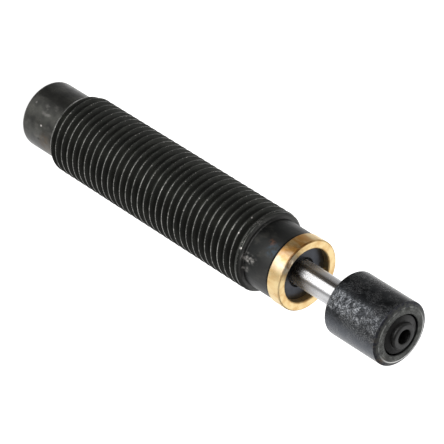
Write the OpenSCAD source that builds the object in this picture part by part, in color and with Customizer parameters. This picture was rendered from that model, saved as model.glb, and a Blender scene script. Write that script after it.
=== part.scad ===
// Miniature self-compensating shock absorber with a threaded barrel.
// Millimetres. The axis is Z, the closed end stands on Z = 0, and the rod comes out towards +Z.

/* [Outer body] */
// Bore of the body
bore_d = 9.8; // [9.4:0.1:10.2]
// Outer diameter of the mounting thread
thread_d = 14; // [13.6:0.1:16]
// Length of the threaded barrel
thread_len = 47.9; // [42:0.1:60]
// Pitch of the thread
thread_pitch = 1.5; // [1:0.25:2]
// Depth of the thread, from crest to root
thread_depth = 0.92; // [0.6:0.01:1]
// Width of the flat on the thread's crests
thread_crest = 0.19; // [0.1:0.01:0.3]
// Length of the entry bevel at the tail end of the thread
thread_lead = 1.6; // [1:0.1:2.5]
// Length of the edge bevel at the front end of the thread
shoulder_bevel = 0.4; // [0.2:0.1:0.8]
// Wall of the plain tail behind the thread
tail_wall = 1; // [0.6:0.05:1.1]
// Length of the plain tail
tail_len = 8.3; // [6:0.1:12]
// Rounding of the tail's rear edge
tail_edge = 0.5; // [0.2:0.1:0.7]
// Wall of the neck in front of the thread
neck_wall = 1.1; // [0.8:0.05:1.3]
// Length of the neck
neck_len = 5.8; // [5:0.1:9]
// Wall of the nose that the front cap sits on
nose_wall = 0.5; // [0.35:0.05:0.7]

/* [Fill port] */
// Diameter of the fill screw
fill_d = 3; // [2.6:0.1:3.6]
// Length of the fill screw
fill_len = 1.6; // [1.4:0.1:2.4]
// Width across the flats of its key socket
fill_key = 1.5; // [1.2:0.1:1.7]
// Depth of its key socket
fill_key_depth = 0.9; // [0.6:0.1:1.1]
// How far the screw lies below the rear face
fill_sink = 0.3; // [0.1:0.1:0.6]
// Thickness of the seal under the screw
fill_seal_t = 0.3; // [0.2:0.05:0.5]
// Thickness of the shoulder that the seal lies on
fill_floor = 0.6; // [0.4:0.1:1]
// Diameter of the oil passage
fill_passage = 1.2; // [0.8:0.1:1.6]

/* [Front cap] */
// Radial step from the neck up to the cap
cap_step = 0.15; // [0.1:0.05:0.6]
// Length of the cap
cap_len = 2.6; // [2.3:0.1:3.5]
// How far the cap's lip covers the gland's rim
lip_cover = 0.2; // [0.15:0.05:0.4]
// Thickness of the lip that holds the gland
cap_lip = 1.3; // [1:0.1:1.6]
// Bevel on the cap's outer edges
cap_bevel = 0.2; // [0.1:0.05:0.25]

/* [Gland and seals] */
// Depth of the hole in the gland's front face
gland_mouth = 0.8; // [0.6:0.1:1.2]
// Length of the groove that holds the wiper
wiper_len = 1.6; // [1.4:0.1:2]
// Radial depth of that groove from the rod
wiper_depth = 1.3; // [1.1:0.1:1.5]
// Length of the land between wiper and seal
gland_land = 0.6; // [0.5:0.1:1]
// Length of the pocket that holds the rod seal
seal_len = 2.4; // [2:0.1:3]
// Radial depth of that pocket from the rod
seal_depth = 1.7; // [1.4:0.1:1.9]
// Section of the gland's sealing ring
ring_section = 0.8; // [0.6:0.05:0.9]
// Thickness of the washer behind the seal
washer_t = 0.5; // [0.4:0.1:1]

/* [Rod bearing] */
// Length of the rod bearing between its end faces
bearing_len = 14; // [10:0.5:16]
// Length of each flange of the bearing
flange_len = 2; // [1.5:0.1:3]
// Wall of the stem between the flanges
stem_wall = 1.1; // [0.8:0.1:1.4]
// Length of the spigots that centre the pressure tube
spigot_len = 1.5; // [1:0.1:2.5]
// Width of the oil notches in the rims
notch_w = 1.2; // [0.8:0.1:1.6]
// Number of oil notches in each rim
notch_n = 4; // [3:1:6]

/* [Pressure tube] */
// Radial gap for the oil between pressure tube and body
oil_gap = 0.4; // [0.3:0.05:0.6]
// Wall of the pressure tube
tube_wall = 0.8; // [0.6:0.05:0.9]
// Diameter of a metering orifice
orifice_d = 0.5; // [0.3:0.05:0.8]
// Number of metering orifices along the stroke
orifice_n = 5; // [3:1:7]
// Diameter of a return port at the tube's front end
port_d = 1.2; // [0.8:0.1:1.6]
// Thickness of the plug's disc at the tube's rear end
plug_t = 1.8; // [1.2:0.1:3]

/* [Piston and rod] */
// Travel of the rod
stroke = 9.5; // [6:0.5:12]
// Diameter of the piston rod
rod_d = 4.4; // [4:0.1:4.8]
// Radial step down to the rod's threaded ends
rod_step = 0.8; // [0.6:0.1:1]
// Length of the piston
piston_len = 4; // [3:0.1:5]
// Diameter of a flow hole through the piston
flow_d = 0.7; // [0.5:0.05:0.8]
// Number of flow holes through the piston
flow_n = 6; // [4:1:8]
// Width of the piston ring
piston_ring_w = 1; // [0.8:0.1:1.4]
// Radial thickness of the piston ring
piston_ring_t = 0.35; // [0.25:0.05:0.4]
// Thickness of the check ring
check_t = 0.8; // [0.6:0.1:1.2]
// Free travel of the check ring
check_play = 0.4; // [0.2:0.1:0.8]
// Wall of the spring seat's hub
hub_wall = 0.6; // [0.4:0.1:0.7]
// Thickness of the spring seat's flange
seat_t = 0.8; // [0.6:0.1:1.2]
// Wall of the piston nut across its flats
nut_wall = 0.6; // [0.5:0.05:0.65]
// Thickness of the piston nut
nut_t = 1.6; // [1.2:0.1:2]

/* [Return spring] */
// Diameter of the wire
wire_d = 0.7; // [0.5:0.05:0.75]
// Radial gap between the coil and the pressure tube
coil_gap = 0.5; // [0.4:0.05:0.55]
// Number of working turns
coil_n = 7; // [5:1:9]

/* [Button] */
// Diameter of the button
button_d = 11; // [10:0.1:12]
// Length of the button
button_len = 11.4; // [10:0.1:14]
// Width of the worn crown round the front face
crown_w = 0.9; // [0.6:0.1:1.2]
// Drop of that crown
crown_drop = 0.45; // [0.1:0.05:0.6]
// Rounding of the button's rear edge
button_edge = 0.4; // [0.2:0.1:0.8]
// Wall of the button round the insert
button_wall = 1.95; // [1.6:0.05:2.2]
// Depth of the pocket for the insert
pocket_depth = 3.6; // [3:0.1:4.5]
// Length of the rod's nose inside the button
nose_grip = 5.2; // [4:0.1:6]
// Height of the insert's boss above the button's face
boss_proud = 0.7; // [0.3:0.1:1.2]
// Wall of the insert's boss round its hole
boss_wall = 1.05; // [0.8:0.05:1.3]
// Diameter of the hole in the insert
insert_hole = 2.5; // [2:0.1:3]

/* [Clearances] */
// Radial gap where a still piece slips into its seat
slip = 0.03; // [0.02:0.01:0.04]
// Radial gap between a sliding piece and its guide
run = 0.03; // [0.02:0.01:0.05]
// Gap between the button and the front cap at the end of the stroke
stop_gap = 0.1; // [0.05:0.05:0.3]
// Gap between piston and bearing with the rod out
rest_gap = 0.3; // [0.2:0.05:0.5]
// Gap between the rod and the mouth of the gland
mouth_gap = 0.35; // [0.25:0.05:0.5]
// Gap between the rod and the lands that it passes
land_gap = 0.15; // [0.1:0.05:0.25]
// Gap between the insert and the wall of its pocket
insert_gap = 0.15; // [0.1:0.05:0.25]

/* [Hidden] */
$fn = 64;
eps = 0.01;

bore_r = bore_d / 2;
thread_r = thread_d / 2;
tail_r = bore_r + tail_wall;
neck_r = bore_r + neck_wall;
nose_r = bore_r + nose_wall;
cap_r = neck_r + cap_step;
opening_r = bore_r - lip_cover;
rod_r = rod_d / 2;
rod_end_r = rod_r - rod_step;
tube_r = bore_r - oil_gap;
tube_bore_r = tube_r - tube_wall;
piston_r = tube_bore_r - run;
groove_bottom_r = piston_r - piston_ring_t;
hub_r = rod_end_r + hub_wall;
coil_r = tube_bore_r - coil_gap - wire_d / 2;
button_r = button_d / 2;
pocket_r = button_r - button_wall;

// Heights up the axis, from the closed end to the button
z_thread = tail_len;
z_lead = z_thread + thread_lead;
z_neck = z_thread + thread_len;
z_shoulder = z_neck - shoulder_bevel;
z_cap = z_neck + neck_len;
z_front = z_cap + cap_len;
z_gland = z_front - cap_lip;
end_wall = fill_sink + fill_len + fill_seal_t + fill_floor;
wiper_top = z_gland - gland_mouth;
wiper_low = wiper_top - wiper_len;
seal_top = wiper_low - gland_land;
z_washer = seal_top - seal_len;
z_bearing = z_washer - washer_t;
z_tube = z_bearing - bearing_len;
z_plug = end_wall + plug_t;
z_piston = z_tube - spigot_len - rest_gap;
z_check = z_piston - piston_len;
hub_len = check_t + check_play;
z_flange = z_check - hub_len;
z_seat = z_flange - seat_t;
z_nut = z_seat - nut_t;
z_button = z_front + stroke + stop_gap;
z_face = z_button + button_len;
z_pocket = z_face - pocket_depth;
z_boss = z_face + boss_proud;

gland_r = bore_r - slip;
groove_r = bore_r - ring_section;
ring_groove_w = ring_section + 0.3;
wiper_r = rod_r + wiper_depth;
seal_r = rod_r + seal_depth;
stem_r = rod_r + stem_wall;
flow_ring_r = (rod_r + groove_bottom_r) / 2;
check_r = piston_r - 0.25;
bead_h = 1;                   // bead that snaps the insert into the button
bead_out = 0.25;
shelf_drop = 0.2;             // insert's shelf below the button's face

// Quarter round of radius r about a centre in the profile plane, from angle a0 to a1
function arc(centre, r, a0, a1, steps = 5) =
    [for (i = [0 : steps]) centre + r * [cos(a0 + (a1 - a0) * i / steps), sin(a0 + (a1 - a0) * i / steps)]];

// Tube between two heights
module sleeve(r_out, r_in, z0, z1) {
    difference() {
        translate([0, 0, z0]) cylinder(r = r_out, h = z1 - z0);
        translate([0, 0, z0 - 1]) cylinder(r = r_in, h = z1 - z0 + 2);
    }
}

// Oil notches cut into a rim from radius r_in outwards
module rim_notches(r_in, z0, z1) {
    for (i = [0 : notch_n - 1]) {
        rotate([0, 0, 360 * i / notch_n])
            translate([r_in, -notch_w / 2, z0 - 1]) cube([bore_r, notch_w, z1 - z0 + 2]);
    }
}

// Crests of the thread from entry bevel to shoulder, as plain rings one pitch apart
thread_turns = floor((z_shoulder - z_lead - thread_crest) / thread_pitch);
thread_tooth = [
    [thread_r, 0],
    [thread_r, thread_crest],
    [thread_r - thread_depth, (thread_crest + thread_pitch) / 2]];

// Barrel: plain tail, threaded length, shoulder, neck and the nose under the cap
module outer_body() {
    seam = cap_bevel;
    profile = concat(
        [[0, 0]],
        arc([tail_r - tail_edge, tail_edge], tail_edge, -90, 0),
        [[tail_r, z_thread],
         [thread_r - thread_depth, z_thread]],
        [for (i = [0 : thread_turns - 1]) for (p = thread_tooth) p + [0, z_lead + i * thread_pitch]],
        [[thread_r, z_lead + thread_turns * thread_pitch],
         [thread_r, z_shoulder],
         [thread_r - shoulder_bevel / 2, z_neck],
         [neck_r, z_neck],
         [neck_r, z_cap - seam],
         [neck_r - seam, z_cap],
         [nose_r, z_cap],
         [nose_r, z_gland - seam],
         [nose_r - seam, z_gland],
         [0, z_gland]]);
    screw_top = fill_sink + fill_len + fill_seal_t;
    color("#2e2e2f") difference() {
        rotate_extrude() polygon(profile);
        translate([0, 0, end_wall]) cylinder(r = bore_r, h = z_gland);
        translate([0, 0, -1]) cylinder(r = fill_d / 2, h = screw_top + 1);
        translate([0, 0, -1]) cylinder(r = fill_passage / 2, h = end_wall + 2);
    }
}

// Grub screw that closes the oil port
module fill_screw() {
    color("#5a5b5d") difference() {
        translate([0, 0, fill_sink]) cylinder(r = fill_d / 2 - slip, h = fill_len);
        translate([0, 0, fill_sink - eps])
            cylinder(r = fill_key / sqrt(3), h = fill_key_depth, $fn = 6);
    }
}

// Flat seal between the grub screw and the shoulder of the port
module fill_seal() {
    z0 = fill_sink + fill_len;
    color("#1b1b1b") sleeve(fill_d / 2 - slip, fill_passage / 2, z0, z0 + fill_seal_t);
}

// Plug that closes and centres the rear end of the pressure tube
module tube_plug() {
    well_d = 2.4;
    well_depth = 0.5;
    color("#8d8f92") difference() {
        union() {
            translate([0, 0, end_wall]) cylinder(r = bore_r - slip, h = plug_t);
            translate([0, 0, z_plug]) cylinder(r = tube_bore_r - slip, h = spigot_len);
        }
        rim_notches(tube_r - slip, end_wall, z_plug);
        translate([0, 0, end_wall - 1]) cylinder(r = well_d / 2, h = well_depth + 1);
        for (i = [0 : notch_n - 1]) {
            rotate([0, 0, 360 * i / notch_n])
                translate([0, -notch_w / 2, end_wall - 1]) cube([bore_r, notch_w, well_depth + 1]);
        }
    }
}

// Height of metering orifice i: the open area falls with the square root of the travel left
function orifice_z(i) = z_check - orifice_d - stroke * (1 - pow(i / orifice_n, 2));

// Pressure tube with the metering orifices along the stroke and return ports at its front end
module pressure_tube() {
    color("#a9abad") difference() {
        sleeve(tube_r, tube_bore_r, z_plug, z_tube);
        for (i = [1 : orifice_n]) {
            translate([0, 0, orifice_z(i)]) rotate([0, 0, 360 * i / orifice_n])
                rotate([0, 90, 0]) cylinder(r = orifice_d / 2, h = bore_r, $fn = 24);
        }
        for (i = [0 : 1]) {
            translate([0, 0, z_tube - spigot_len - port_d / 2]) rotate([0, 0, 180 * i])
                rotate([0, 90, 0]) cylinder(r = port_d / 2, h = bore_r);
        }
    }
}

// Return spring: one closed turn at each end and coil_n working turns between them
spring_low = z_plug + spigot_len;
spring_len = z_seat - spring_low;
end_pitch = wire_d * 1.06;
work_pitch = (spring_len - wire_d - 2 * end_pitch) / coil_n;
turns = coil_n + 2;
function coil_z(t) =
    t < 1 ? end_pitch * t :
    t < turns - 1 ? end_pitch + work_pitch * (t - 1) :
    end_pitch + work_pitch * coil_n + end_pitch * (t - turns + 1);

module return_spring() {
    sides = 8;
    per_turn = 20;
    rings = turns * per_turn;
    points = [for (k = [0 : rings]) for (s = [0 : sides - 1])
        let (t = k / per_turn, a = 360 * t, b = 360 * s / sides,
             r = coil_r + wire_d / 2 * cos(b))
        [r * cos(a), r * sin(a), spring_low + wire_d / 2 + coil_z(t) + wire_d / 2 * sin(b)]];
    skin = [for (k = [0 : rings - 1]) for (s = [0 : sides - 1])
        [k * sides + s, k * sides + (s + 1) % sides,
         (k + 1) * sides + (s + 1) % sides, (k + 1) * sides + s]];
    tip = [[for (s = [0 : sides - 1]) sides - 1 - s],
           [for (s = [0 : sides - 1]) rings * sides + s]];
    color("#b9bcc0") polyhedron(points, concat(skin, tip), convexity = 12);
}

// Flanged hub that carries the spring and traps the check ring
module spring_seat() {
    color("#8d8f92") difference() {
        union() {
            translate([0, 0, z_seat]) cylinder(r = coil_r + wire_d / 2, h = seat_t);
            translate([0, 0, z_flange]) cylinder(r = hub_r, h = hub_len);
        }
        translate([0, 0, z_seat - 1]) cylinder(r = rod_end_r, h = seat_t + hub_len + 2);
    }
}

// Hexagon nut that holds piston and spring seat on the rod
module piston_nut() {
    color("#77797c") difference() {
        translate([0, 0, z_nut]) cylinder(r = 2 * (rod_end_r + nut_wall) / sqrt(3), h = nut_t, $fn = 6);
        translate([0, 0, z_nut - 1]) cylinder(r = rod_end_r, h = nut_t + 2);
    }
}

// Floating ring: pressed against the piston on the way in, off it on the way out
module check_ring() {
    color("#c9a25a") sleeve(check_r, hub_r + run, z_flange, z_flange + check_t);
}

// Piston with its flow holes and the groove of its ring
module piston() {
    groove_z = z_check + (piston_len - piston_ring_w) / 2;
    relief = 0.3;
    color("#7e8184") difference() {
        translate([0, 0, z_check]) cylinder(r = piston_r, h = piston_len);
        translate([0, 0, z_check - 1]) cylinder(r = rod_end_r, h = piston_len + 2);
        sleeve(piston_r + 1, groove_bottom_r, groove_z, groove_z + piston_ring_w);
        sleeve(piston_r + 1, piston_r - relief, z_piston - relief, z_piston + 1);
        for (i = [0 : flow_n - 1]) {
            rotate([0, 0, 360 * i / flow_n]) translate([flow_ring_r, 0, z_check - 1])
                cylinder(r = flow_d / 2, h = piston_len + 2, $fn = 24);
        }
    }
}

// Split ring that seals the piston in its tube
module piston_ring() {
    groove_z = z_check + (piston_len - piston_ring_w) / 2;
    split = 0.3;
    color("#3a3a3c") difference() {
        sleeve(piston_r, groove_bottom_r, groove_z, groove_z + piston_ring_w);
        translate([0, -split / 2, groove_z - 1]) cube([bore_r, split, piston_ring_w + 2]);
    }
}

// Polished rod with a reduced end at the piston and a reduced nose in the button
module piston_rod() {
    tip = 0.3;
    rear = z_nut - tip;
    color("#d9dbde") rotate_extrude() polygon([
        [0, rear],
        [rod_end_r - tip, rear],
        [rod_end_r, z_nut],
        [rod_end_r, z_piston],
        [rod_r, z_piston],
        [rod_r, z_button],
        [rod_end_r, z_button],
        [rod_end_r, z_button + nose_grip - tip],
        [rod_end_r - tip, z_button + nose_grip],
        [0, z_button + nose_grip]]);
}

// Guide of the rod, with the foam's waist between two flanges
module rod_bearing() {
    color("#b08a4a") difference() {
        union() {
            translate([0, 0, z_tube]) cylinder(r = gland_r, h = flange_len);
            translate([0, 0, z_tube]) cylinder(r = stem_r, h = bearing_len);
            translate([0, 0, z_bearing - flange_len]) cylinder(r = gland_r, h = flange_len);
            translate([0, 0, z_tube - spigot_len])
                cylinder(r = tube_bore_r - slip, h = spigot_len + eps);
        }
        translate([0, 0, z_tube - spigot_len - 1])
            cylinder(r = rod_r + run, h = bearing_len + spigot_len + 2);
        rim_notches(tube_r - slip, z_tube, z_tube + flange_len - 1);
    }
}

// Closed-cell foam that takes up the oil which the rod displaces
module accumulator_foam() {
    color("#4a4d55") sleeve(bore_r - slip, stem_r + slip,
        z_tube + flange_len + slip, z_bearing - flange_len - slip);
}

// Washer that closes the pocket of the rod seal
module seal_washer() {
    color("#9a9da0") sleeve(gland_r, rod_r + land_gap, z_bearing, z_washer);
}

// U-cup seal, open towards the oil
module rod_seal() {
    low = z_washer + 0.1;
    top = seal_top;
    lip = 0.45;
    depth = (top - low) * 0.6;
    inner = rod_r + run;
    outer = seal_r - slip;
    color("#26415e") rotate_extrude() polygon([
        [inner, low],
        [inner + lip, low],
        [inner + lip, low + depth],
        [outer - lip, low + depth],
        [outer - lip, low],
        [outer, low],
        [outer, top],
        [inner, top]]);
}

// Gland: the dark disc inside the cap, with the wiper, the seal and the outer ring in it
module gland() {
    ring_z = wiper_low + (wiper_len - ring_groove_w) / 2;
    mouth_r = rod_r + mouth_gap;
    rim = 0.25;
    color("#2b2e34") difference() {
        rotate_extrude() polygon([
            [mouth_r, z_gland],
            [gland_r - rim, z_gland],
            [gland_r, z_gland - rim],
            [gland_r, z_washer],
            [seal_r, z_washer],
            [seal_r, seal_top],
            [rod_r + land_gap, seal_top],
            [rod_r + land_gap, wiper_low],
            [wiper_r, wiper_low],
            [wiper_r, wiper_top],
            [mouth_r, wiper_top]]);
        sleeve(bore_r + 1, groove_r, ring_z, ring_z + ring_groove_w);
    }
}

// Round sealing ring between gland and body
module gland_ring() {
    section = ring_section / 2 - slip / 2;
    color("#161616") translate([0, 0, wiper_low + wiper_len / 2])
        rotate_extrude() translate([bore_r - ring_section / 2, 0]) circle(r = section);
}

// Wiper: its lip stands forward in the gland's mouth, close round the rod
module rod_wiper() {
    lip = 0.2;
    reach = gland_mouth * 0.6;
    inner = rod_r + run;
    color("#141414") rotate_extrude() polygon([
        [inner + lip, wiper_low + slip],
        [wiper_r - slip, wiper_low + slip],
        [wiper_r - slip, wiper_top - slip],
        [inner + lip, wiper_top - slip],
        [inner + lip, wiper_top + reach - lip],
        [inner, wiper_top + reach],
        [inner, wiper_top - gland_mouth]]);
}

// Cap over the nose: its lip holds the gland and stops the button
module front_cap() {
    socket_r = nose_r + slip;
    inner_bevel = 0.12;
    color("#d8a648") rotate_extrude() polygon([
        [socket_r, z_cap],
        [cap_r - cap_bevel, z_cap],
        [cap_r, z_cap + cap_bevel],
        [cap_r, z_front - cap_bevel],
        [cap_r - cap_bevel, z_front],
        [opening_r + inner_bevel, z_front],
        [opening_r, z_front - inner_bevel],
        [opening_r, z_gland],
        [socket_r, z_gland]]);
}

// Steel button with the undercut pocket of its insert
module button() {
    bead_z = z_pocket + bead_out;
    color("#4b4c4f") difference() {
        rotate_extrude() polygon(concat(
            [[0, z_button]],
            arc([button_r - button_edge, z_button + button_edge], button_edge, -90, 0),
            [[button_r, z_face - crown_drop],
             [button_r - crown_w / 3, z_face - crown_drop / 3],
             [button_r - crown_w, z_face],
             [pocket_r, z_face],
             [pocket_r, bead_z + bead_h],
             [pocket_r + bead_out, bead_z + bead_h],
             [pocket_r + bead_out, bead_z],
             [pocket_r, bead_z],
             [pocket_r, z_pocket],
             [0, z_pocket]]));
        translate([0, 0, z_button - 1]) cylinder(r = rod_end_r, h = nose_grip + 1);
    }
}

// Elastomer insert: shelf, raised boss and the hole down its middle
module button_insert() {
    bead_z = z_pocket + bead_out;
    shelf_z = z_face - shelf_drop;
    body_r = pocket_r - insert_gap;
    hole_r = insert_hole / 2;
    boss_r = hole_r + boss_wall;
    boss_edge = 0.3;
    hole_edge = 0.15;
    color("#232324") rotate_extrude() polygon(concat(
        [[hole_r, z_pocket],
         [body_r, z_pocket],
         [body_r, bead_z + slip],
         [pocket_r + bead_out - slip, bead_z + slip],
         [pocket_r + bead_out - slip, bead_z + bead_h - slip],
         [body_r, bead_z + bead_h - slip],
         [body_r, shelf_z - insert_gap],
         [body_r - insert_gap, shelf_z],
         [boss_r, shelf_z]],
        arc([boss_r - boss_edge, z_boss - boss_edge], boss_edge, 0, 90),
        [[hole_r + hole_edge, z_boss],
         [hole_r, z_boss - hole_edge]]));
}

outer_body();
fill_screw();
fill_seal();
tube_plug();
pressure_tube();
return_spring();
spring_seat();
piston_nut();
check_ring();
piston();
piston_ring();
piston_rod();
rod_bearing();
accumulator_foam();
seal_washer();
rod_seal();
gland();
gland_ring();
rod_wiper();
front_cap();
button();
button_insert();
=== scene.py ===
import math

import bmesh
import bpy
from mathutils import Matrix, Vector


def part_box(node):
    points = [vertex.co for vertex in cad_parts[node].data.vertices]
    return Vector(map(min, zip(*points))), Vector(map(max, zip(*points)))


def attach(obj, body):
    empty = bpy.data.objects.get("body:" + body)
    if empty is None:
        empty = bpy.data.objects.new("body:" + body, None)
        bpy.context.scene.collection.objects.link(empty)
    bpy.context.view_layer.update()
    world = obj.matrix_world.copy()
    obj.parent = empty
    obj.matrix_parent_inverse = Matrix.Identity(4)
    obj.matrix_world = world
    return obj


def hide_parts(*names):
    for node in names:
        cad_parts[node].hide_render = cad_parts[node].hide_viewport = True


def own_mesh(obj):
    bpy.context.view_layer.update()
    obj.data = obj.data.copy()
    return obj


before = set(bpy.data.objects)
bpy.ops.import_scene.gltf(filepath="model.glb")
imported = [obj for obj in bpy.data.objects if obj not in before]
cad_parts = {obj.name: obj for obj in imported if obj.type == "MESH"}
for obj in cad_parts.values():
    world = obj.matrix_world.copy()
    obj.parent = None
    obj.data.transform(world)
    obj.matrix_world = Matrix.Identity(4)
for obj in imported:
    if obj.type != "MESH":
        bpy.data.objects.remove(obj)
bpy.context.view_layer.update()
scene = bpy.context.scene
mm = 0.001
samePlace = 1e-7                     # metres; points closer than this are one point
sharpFrom = math.radians(32)         # edges bent more than this stay sharp


def heights(node):
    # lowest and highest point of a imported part, and its radius, in millimetres
    low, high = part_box(node)
    return low.z / mm, high.z / mm, max(high.x, high.y) / mm


# camera: a long lens in front of the object and above it, rolled so that the rod runs down to
# the right

view = {
    "aim": (0, 0, 0.04448),
    "distance": 0.48987,
    "elevation": 38.57,
    "roll": 122.24,
    "lens": 248.12,
}
level = math.radians(view["elevation"])
back = Vector((0, -math.cos(level), math.sin(level)))
cameraData = bpy.data.cameras.new("camera")
cameraData.sensor_width = 36
cameraData.lens = view["lens"]
cameraData.clip_start = 0.02
cameraData.clip_end = 50
camera = bpy.data.objects.new("camera", cameraData)
scene.collection.objects.link(camera)
facing = back.to_track_quat("Z", "Y").to_matrix().to_4x4()
standing = Matrix.Translation(Vector(view["aim"]) + back * view["distance"])
camera.matrix_world = standing @ facing @ Matrix.Rotation(math.radians(view["roll"]), 4, "Z")
scene.camera = camera
scene.view_settings.view_transform = "Standard"
print("camera placed")


# sizes that shapes and finishes share, in millimetres

barrel = {
    "tailRadius": 5.9,
    "tailLength": 8.3,
    "tailEdge": 0.95,
    "threadLength": 47.9,
    "pitch": 1.5,
    "leadRadius": 6.3,       # where the entry bevel starts
    "leadLength": 1.2,
    "crestEdge": 0.02,
    "shoulderEdge": 0.5,
    "shoulderSlope": 1.1,
    "landRadius": 6.88,      # where the last groove runs out behind the shoulder
    "landLength": 1.0,
    "runOutSlope": 3.5,      # how fast that groove gets deeper again
    "startTurn": 0.27,       # share of a turn by which the thread is turned round
    "stepsPerTurn": 96,
    "neckRadius": 6.0,
    "neckLength": 5.8,
    "neckEdge": 0.2,
    "neckFillet": 0.12,
    "filletWaist": 0.03,
    "noseRadius": 5.4,
    "noseEdge": 0.15,
    "boreRadius": 4.9,
    "endWall": 2.8,
    "portRadius": 1.5,
    "portDepth": 2.2,
    "portEdge": 0.15,
    "passageRadius": 0.6,
}

button = {
    "crownWidth": 0.9, "crownDrop": 0.45,
    "kneeWidth": 0.6, "kneeDrop": 0.22,    # shares of the crown's width and drop
    "edge": 0.08, "rearEdge": 0.4, "pocket": 3.55, "bead": 0.25, "beadHeight": 1.0,
    "noseGrip": 5.2, "noseRadius": 1.4, "vent": 0.4,
}

cap = {"opening": 4.7, "socket": 5.43, "outerEdge": 0.2, "openingEdge": 0.2, "rearEdge": 0.12}

pad = {
    "body": 3.4, "bead": 3.77, "beadLow": 0.28, "beadHigh": 1.22,
    "shelfDrop": 0.9, "shelfCone": 0.22, "shelfEdge": 0.07, "boss": 2.3, "bossEdge": 0.42,
    "hole": 1.25, "holeEdge": 0.15, "oval": 0.03, "ovalWidth": 0.3, "ovalDepth": 0.4,
}


# nodes and patterns

def linear(code):
    # sRGB hex to linear RGBA
    parts = [int(code[i:i + 2], 16) / 255 for i in (1, 3, 5)]
    return [c / 12.92 if c <= 0.04045 else ((c + 0.055) / 1.055) ** 2.4 for c in parts] + [1]


def addNode(tree, kind, inputs=(), output=0, **settings):
    # adds a node with its settings, fills or links its inputs, and returns one of its outputs
    node = tree.nodes.new("ShaderNode" + kind)
    for name, value in settings.items():
        setattr(node, name, value)
    for name, value in (inputs if isinstance(inputs, dict) else dict(enumerate(inputs))).items():
        if isinstance(value, bpy.types.NodeSocket):
            tree.links.new(value, node.inputs[name])
        else:
            node.inputs[name].default_value = value
    return node.outputs[output] if node.outputs else node


def along(tree, place, way):
    # distance from the axis or height, in millimetres
    if way == "height":
        reading = addNode(tree, "SeparateXYZ", (place,), 2)
    else:
        flat = addNode(tree, "VectorMath", (place, (1, 1, 0)), operation="MULTIPLY")
        reading = addNode(tree, "VectorMath", (flat,), 1, operation="LENGTH")
    return addNode(tree, "Math", (reading, 1 / mm), operation="MULTIPLY")


def zone(tree, place, way, start, end):
    # 0 before start and 1 past end, along the height or the radius in millimetres
    reading = along(tree, place, way)
    return addNode(tree, "MapRange", (reading, start, end), interpolation_type="SMOOTHSTEP")


def patches(tree, place, size, start, end, detail=3, stretch=(1, 1, 1), shift=0.0):
    # cloudy patches about size millimetres across, cut between two noise levels
    moved = addNode(tree, "Mapping", {0: place, 1: (shift, shift * 0.7, shift * 1.3), 3: stretch})
    cloud = addNode(tree, "TexNoise", {"Vector": moved, "Scale": 1 / (size * mm), "Detail": detail})
    return addNode(tree, "MapRange", (cloud, start, end), interpolation_type="SMOOTHSTEP")


def spot(tree, place, centre, reach, stretch=(1, 1, 1)):
    # 1 at a place in millimetres and 0 beyond its reach, which stretch lengthens along an axis
    moved = addNode(tree, "VectorMath", (place, [c * mm for c in centre]), operation="SUBTRACT")
    scaled = addNode(tree, "VectorMath", (moved, [1 / s for s in stretch]), operation="MULTIPLY")
    away = addNode(tree, "VectorMath", (scaled,), 1, operation="LENGTH")
    return addNode(tree, "MapRange", (away, reach * mm, reach * mm * 0.3),
                   interpolation_type="SMOOTHSTEP")


def sector(tree, place, degrees, reach):
    # 1 round one side of the axis and 0 past reach; 0 degrees faces -Y and 90 faces +X
    flat = addNode(tree, "VectorMath", (place, (1, 1, 0)), operation="MULTIPLY")
    unit = addNode(tree, "VectorMath", (flat,), operation="NORMALIZE")
    side = (math.sin(math.radians(degrees)), -math.cos(math.radians(degrees)), 0)
    cosine = addNode(tree, "VectorMath", (unit, side), 1, operation="DOT_PRODUCT")
    edge, heart = math.cos(math.radians(reach)), math.cos(math.radians(reach * 0.35))
    return addNode(tree, "MapRange", (cosine, edge, heart), interpolation_type="SMOOTHSTEP")


def toolMarks(tree, place, way, spacing):
    # fine grooves of a turning tool, one each spacing millimetres, of uneven depth
    across = along(tree, place, way)
    phase = addNode(tree, "Math", (across, 2 * math.pi / spacing), operation="MULTIPLY")
    wave = addNode(tree, "Math", (phase,), operation="SINE")
    uneven = addNode(tree, "TexNoise", {"W": across, "Scale": 0.4 / spacing, "Detail": 2},
                     noise_dimensions="1D")
    return addNode(tree, "Math", (wave, uneven), operation="MULTIPLY")


def scratches(tree, place, size, thin, stretch, shift=0.0):
    # thin lines where a stretched noise crosses its middle
    moved = addNode(tree, "Mapping", {0: place, 1: (shift, shift, shift), 3: stretch})
    veins = addNode(tree, "TexNoise", {"Vector": moved, "Scale": 1 / (size * mm), "Detail": 2,
                                       "Distortion": 0.6})
    middle = addNode(tree, "Math", (veins, 0.5), operation="SUBTRACT")
    crossing = addNode(tree, "Math", (middle,), operation="ABSOLUTE")
    return addNode(tree, "MapRange", (crossing, thin, 0))


def anyOf(tree, *groups):
    # masks in one group are multiplied, and the strongest group shows
    strongest = None
    for group in groups:
        shared = group[0]
        for mask in group[1:]:
            shared = addNode(tree, "Math", (shared, mask), operation="MULTIPLY")
        if strongest is None:
            strongest = shared
        else:
            strongest = addNode(tree, "Math", (strongest, shared), operation="MAXIMUM")
    return strongest


def coated(tree, under, *coats):
    # lays coats over a colour, each one a colour and the masks that together limit it
    for colour, *masks in coats:
        amount = anyOf(tree, masks)
        under = addNode(tree, "Mix", {0: amount, 6: under, 7: colour}, 2, data_type="RGBA")
    return under


# studio: a white table lights the object from all round, with a darker room on one side

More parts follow.
